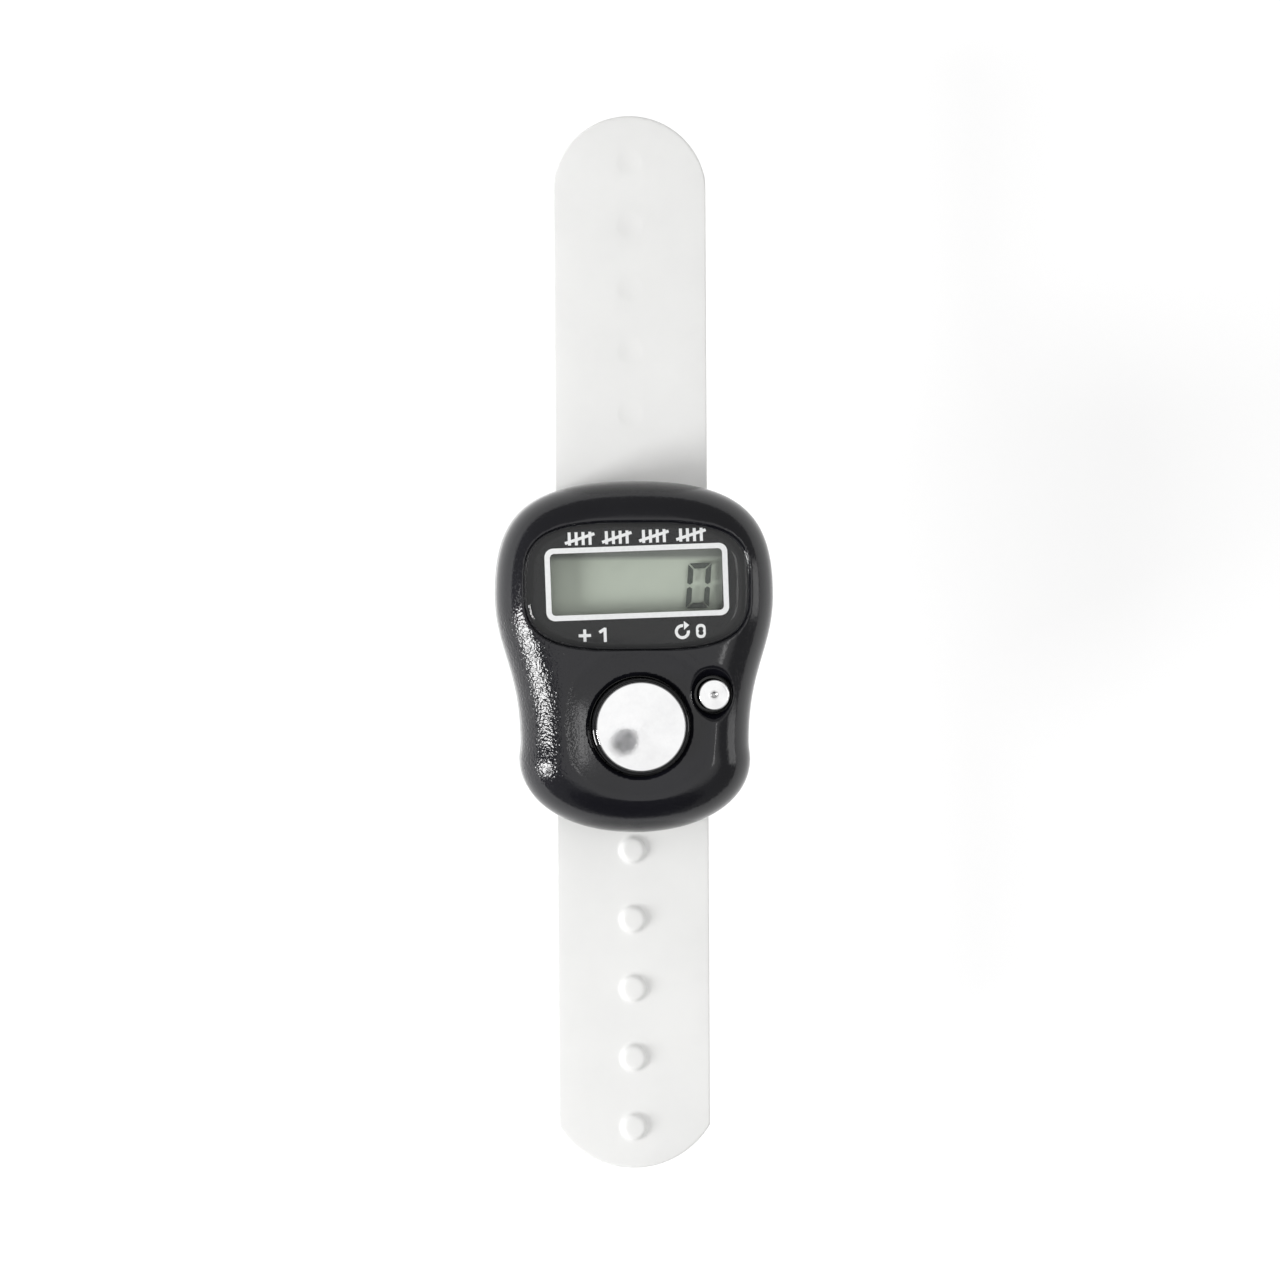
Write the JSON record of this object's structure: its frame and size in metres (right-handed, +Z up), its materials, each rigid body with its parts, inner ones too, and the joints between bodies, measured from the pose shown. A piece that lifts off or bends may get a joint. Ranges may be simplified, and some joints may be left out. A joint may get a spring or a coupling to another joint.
{
  "type": "finger tally counter",
  "caption": "Ring-style electronic tally counter: glossy black case with a small display, a round count key, a reset key and a milky silicone strap with snap studs.",
  "frame": {"origin": "middle of the whole length and width, on the plane the case and strap rest on", "axes": "+Z up out of the display, +Y along the strap towards the display end (socket half), +X to the right when the display is read"},
  "size_m": [0.0316, 0.121, 0.0144],
  "materials": {
    "black_abs": "glossy",
    "black_abs_satin": "satin",
    "screw_steel": "zinc plated",
    "switch_steel": "stamped",
    "clear_window": "clear",
    "black_print": "printed",
    "white_ink": "printed",
    "polariser": "clear film",
    "lcd_glass": "clear",
    "lcd_ink": "dark liquid crystal",
    "reflector": "grey-green foil",
    "zebra_rubber": "matte",
    "board_green": "solder mask",
    "epoxy_black": "glob of resin",
    "capacitor_tan": "ceramic",
    "plated_chrome": "polished",
    "cell_steel": "polished",
    "contact_brass": "spring strip",
    "silicone": "milky, slightly see-through"
  },
  "bodies": {
    "case": {"top_shell": "black_abs", "back_shell": "black_abs", "battery_door": "black_abs_satin", "case_screws": "screw_steel", "door_screw": "screw_steel", "display_window": "clear_window", "display_mask": "black_print", "white_print": "white_ink", "lcd_front_polariser": "polariser", "lcd_front_glass": "lcd_glass", "lcd_segments": "lcd_ink", "lcd_rear_glass": "lcd_glass", "lcd_reflector": "reflector", "zebra_connector": "zebra_rubber", "circuit_board": "board_green", "board_screws": "screw_steel", "chip_epoxy": "epoxy_black", "chip_capacitors": "capacitor_tan", "chip_resistor": "epoxy_black", "count_switch_base": "black_abs_satin", "count_switch_dome": "switch_steel", "count_switch_cover": "switch_steel", "reset_switch_base": "black_abs_satin", "reset_switch_dome": "switch_steel", "reset_switch_cover": "switch_steel", "button_cell": "cell_steel", "positive_contact": "contact_brass", "negative_contact": "contact_brass", "strap_centre": "silicone"},
    "count_key": {"count_button": "plated_chrome", "count_plunger": "black_abs_satin"},
    "reset_key": {"reset_button": "plated_chrome", "reset_plunger": "black_abs_satin"},
    "strap_upper_part_1": {"strap_upper_1": "silicone"},
    "strap_upper_part_2": {"strap_upper_2": "silicone"},
    "strap_upper_part_3": {"strap_upper_3": "silicone"},
    "strap_upper_part_4": {"strap_upper_4": "silicone"},
    "strap_upper_part_5": {"strap_upper_5": "silicone"},
    "strap_lower_part_1": {"strap_lower_1": "silicone"},
    "strap_lower_part_2": {"strap_lower_2": "silicone"},
    "strap_lower_part_3": {"strap_lower_3": "silicone"},
    "strap_lower_part_4": {"strap_lower_4": "silicone"},
    "strap_lower_part_5": {"strap_lower_5": "silicone"}
  },
  "joints": [
    {"name": "count_press", "type": "slide", "parent": "case", "child": "count_key", "axis": [0, 0, -1], "range_m": [0, 0.0005], "stiffness_N_per_m": 2000, "springref_m": -0.0001, "deforming": ["count_switch_dome"]},
    {"name": "reset_press", "type": "slide", "parent": "case", "child": "reset_key", "axis": [0, 0, -1], "range_m": [0, 0.00035], "stiffness_N_per_m": 2000, "springref_m": -0.0001, "deforming": ["reset_switch_dome"]},
    {"name": "strap_upper_bend_1", "type": "hinge", "parent": "case", "child": "strap_upper_part_1", "pos_m": [0, 0.01795, 0], "axis": [-1, 0, 0], "range_deg": [0, 50], "stiffness_Nm_per_rad": 0.0012},
    {"name": "strap_upper_bend_2", "type": "hinge", "parent": "strap_upper_part_1", "child": "strap_upper_part_2", "pos_m": [0, 0.02285, 0], "axis": [-1, 0, 0], "range_deg": [0, 31], "stiffness_Nm_per_rad": 0.0012},
    {"name": "strap_upper_bend_3", "type": "hinge", "parent": "strap_upper_part_2", "child": "strap_upper_part_3", "pos_m": [0, 0.03005, 0], "axis": [-1, 0, 0], "range_deg": [0, 31], "stiffness_Nm_per_rad": 0.0012},
    {"name": "strap_upper_bend_4", "type": "hinge", "parent": "strap_upper_part_3", "child": "strap_upper_part_4", "pos_m": [0, 0.03725, 0], "axis": [-1, 0, 0], "range_deg": [0, 31], "stiffness_Nm_per_rad": 0.0012},
    {"name": "strap_upper_bend_5", "type": "hinge", "parent": "strap_upper_part_4", "child": "strap_upper_part_5", "pos_m": [0, 0.04445, 0], "axis": [-1, 0, 0], "range_deg": [0, 31], "stiffness_Nm_per_rad": 0.0012},
    {"name": "strap_lower_bend_1", "type": "hinge", "parent": "case", "child": "strap_lower_part_1", "pos_m": [0, -0.02065, 0], "axis": [1, 0, 0], "range_deg": [0, 50], "stiffness_Nm_per_rad": 0.0012},
    {"name": "strap_lower_bend_2", "type": "hinge", "parent": "strap_lower_part_1", "child": "strap_lower_part_2", "pos_m": [0, -0.02775, 0], "axis": [1, 0, 0], "range_deg": [0, 31], "stiffness_Nm_per_rad": 0.0012},
    {"name": "strap_lower_bend_3", "type": "hinge", "parent": "strap_lower_part_2", "child": "strap_lower_part_3", "pos_m": [0, -0.03575, 0], "axis": [1, 0, 0], "range_deg": [0, 31], "stiffness_Nm_per_rad": 0.0012},
    {"name": "strap_lower_bend_4", "type": "hinge", "parent": "strap_lower_part_3", "child": "strap_lower_part_4", "pos_m": [0, -0.04375, 0], "axis": [1, 0, 0], "range_deg": [0, 31], "stiffness_Nm_per_rad": 0.0012},
    {"name": "strap_lower_bend_5", "type": "hinge", "parent": "strap_lower_part_4", "child": "strap_lower_part_5", "pos_m": [0, -0.05175, 0], "axis": [1, 0, 0], "range_deg": [0, 31], "stiffness_Nm_per_rad": 0.0012}
  ],
  "couplings": [
    {"joint": "strap_upper_bend_2", "follows": "strap_upper_bend_1", "ratio": 0.62},
    {"joint": "strap_upper_bend_3", "follows": "strap_upper_bend_1", "ratio": 0.62},
    {"joint": "strap_upper_bend_4", "follows": "strap_upper_bend_1", "ratio": 0.62},
    {"joint": "strap_upper_bend_5", "follows": "strap_upper_bend_1", "ratio": 0.62},
    {"joint": "strap_lower_bend_2", "follows": "strap_lower_bend_1", "ratio": 0.62},
    {"joint": "strap_lower_bend_3", "follows": "strap_lower_bend_1", "ratio": 0.62},
    {"joint": "strap_lower_bend_4", "follows": "strap_lower_bend_1", "ratio": 0.62},
    {"joint": "strap_lower_bend_5", "follows": "strap_lower_bend_1", "ratio": 0.62}
  ]
}
